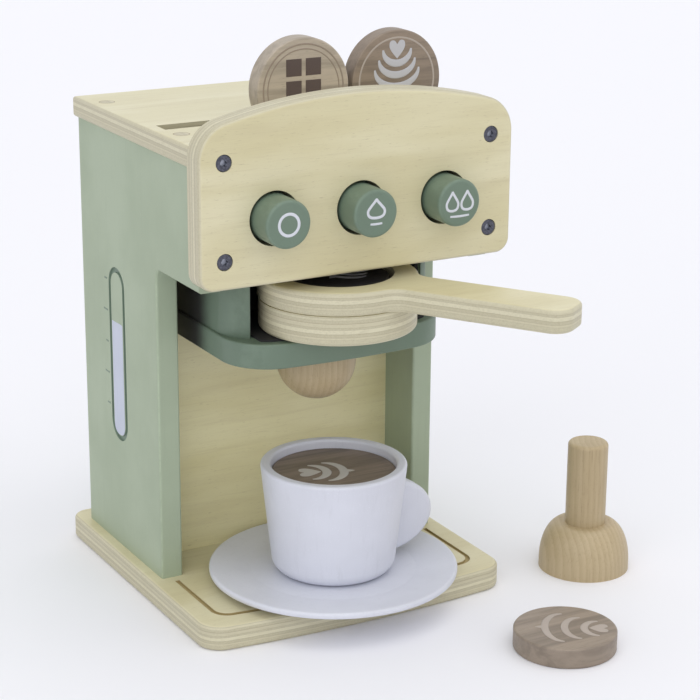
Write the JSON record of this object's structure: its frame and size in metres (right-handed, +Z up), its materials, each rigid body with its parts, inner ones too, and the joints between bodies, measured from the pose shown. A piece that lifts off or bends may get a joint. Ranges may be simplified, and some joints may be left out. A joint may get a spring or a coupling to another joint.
{
  "type": "toy coffee maker",
  "caption": "Wooden toy coffee maker with push buttons, a pull-out portafilter, slots for coffee discs, a spout, a cup on its saucer and a tamper.",
  "frame": {"origin": "on the floor under the middle of the base board, which stands on it", "axes": "+X to the right as seen from the front, +Y towards the back, +Z up"},
  "size_m": [0.234, 0.2595, 0.2685],
  "materials": {
    "natural_wood": "clear matt lacquer over birch plywood",
    "sage_painted_wood": "matt water-based paint",
    "dark_green_painted_wood": "matt water-based paint",
    "turned_beech": "clear matt lacquer over turned beech",
    "white_painted_wood": "satin water-based paint",
    "brown_disc_wood": "printed and lacquered",
    "pale_disc_wood": "printed and lacquered",
    "dark_disc_wood": "printed and lacquered",
    "black_lining": "matt black",
    "dark_screw_steel": "dark zinc",
    "bright_steel": "bright zinc"
  },
  "bodies": {
    "machine": {"base_board": "natural_wood", "base_screws": "bright_steel", "left_side_panel": "sage_painted_wood", "right_side_panel": "sage_painted_wood", "top_board": "natural_wood", "top_board_screws": "bright_steel", "top_board_plugs": "natural_wood", "front_panel": "natural_wood", "front_panel_screws": "dark_screw_steel", "drinks_bay_panel": "natural_wood", "rear_panel": "sage_painted_wood", "button_housing_floor": "natural_wood", "button_guide_board": "natural_wood", "brew_shelf": "dark_green_painted_wood", "left_guide_block": "dark_green_painted_wood", "right_guide_block": "dark_green_painted_wood", "chamber_liner": "black_lining", "chamber_mat": "black_lining", "spout": "turned_beech", "button_spring_left": "bright_steel", "button_spring_middle": "bright_steel", "button_spring_right": "bright_steel"},
    "portafilter": {"portafilter_lower_layer": "natural_wood", "portafilter_handle_layer": "natural_wood"},
    "portafilter_disc": {"disc_in_portafilter": "dark_disc_wood"},
    "middle_slot_disc": {"disc_in_middle_slot": "pale_disc_wood"},
    "right_slot_disc": {"disc_in_right_slot": "brown_disc_wood"},
    "lying_disc": {"disc_lying": "brown_disc_wood"},
    "saucer": {"saucer": "white_painted_wood"},
    "cup": {"cup_body": "white_painted_wood", "cup_handle": "white_painted_wood"},
    "coffee_top": {"coffee_insert": "brown_disc_wood"},
    "tamper": {"tamper_head": "turned_beech", "tamper_stem": "turned_beech"},
    "button_left": {"button_cap_left": "dark_green_painted_wood", "button_dowel_left": "turned_beech"},
    "button_middle": {"button_cap_middle": "dark_green_painted_wood", "button_dowel_middle": "turned_beech"},
    "button_right": {"button_cap_right": "dark_green_painted_wood", "button_dowel_right": "turned_beech"}
  },
  "joints": [
    {"name": "button_left_press", "type": "slide", "parent": "machine", "child": "button_left", "axis": [0, 1, 0], "range_m": [0, 0.007], "stiffness_N_per_m": 200, "springref_m": -0.004, "deforming": ["button_spring_left"]},
    {"name": "button_middle_press", "type": "slide", "parent": "machine", "child": "button_middle", "axis": [0, 1, 0], "range_m": [0, 0.007], "stiffness_N_per_m": 200, "springref_m": -0.004, "deforming": ["button_spring_middle"]},
    {"name": "button_right_press", "type": "slide", "parent": "machine", "child": "button_right", "axis": [0, 1, 0], "range_m": [0, 0.007], "stiffness_N_per_m": 200, "springref_m": -0.004, "deforming": ["button_spring_right"]},
    {"name": "portafilter_pull", "type": "slide", "parent": "machine", "child": "portafilter", "axis": [0, -1, 0], "range_m": [0, 0.09]},
    {"name": "portafilter_disc_lift", "type": "slide", "parent": "portafilter", "child": "portafilter_disc", "axis": [0, 0, 1], "range_m": [0, 0.006]},
    {"name": "middle_disc_lift", "type": "slide", "parent": "machine", "child": "middle_slot_disc", "axis": [0, 0, 1], "range_m": [0, 0.045]},
    {"name": "right_disc_lift", "type": "slide", "parent": "machine", "child": "right_slot_disc", "axis": [0, 0, 1], "range_m": [0, 0.045]},
    {"name": "lying_disc_lift", "type": "slide", "parent": "machine", "child": "lying_disc", "axis": [0, 0, 1], "range_m": [0, 0.04]},
    {"name": "saucer_slide", "type": "slide", "parent": "machine", "child": "saucer", "axis": [0, -1, 0], "range_m": [0, 0.125]},
    {"name": "cup_lift", "type": "slide", "parent": "saucer", "child": "cup", "axis": [0, 0, 1], "range_m": [0, 0.012]},
    {"name": "coffee_top_lift", "type": "slide", "parent": "cup", "child": "coffee_top", "axis": [0, 0, 1], "range_m": [0, 0.014]},
    {"name": "tamper_lift", "type": "slide", "parent": "machine", "child": "tamper", "axis": [0, 0, 1], "range_m": [0, 0.08]}
  ]
}
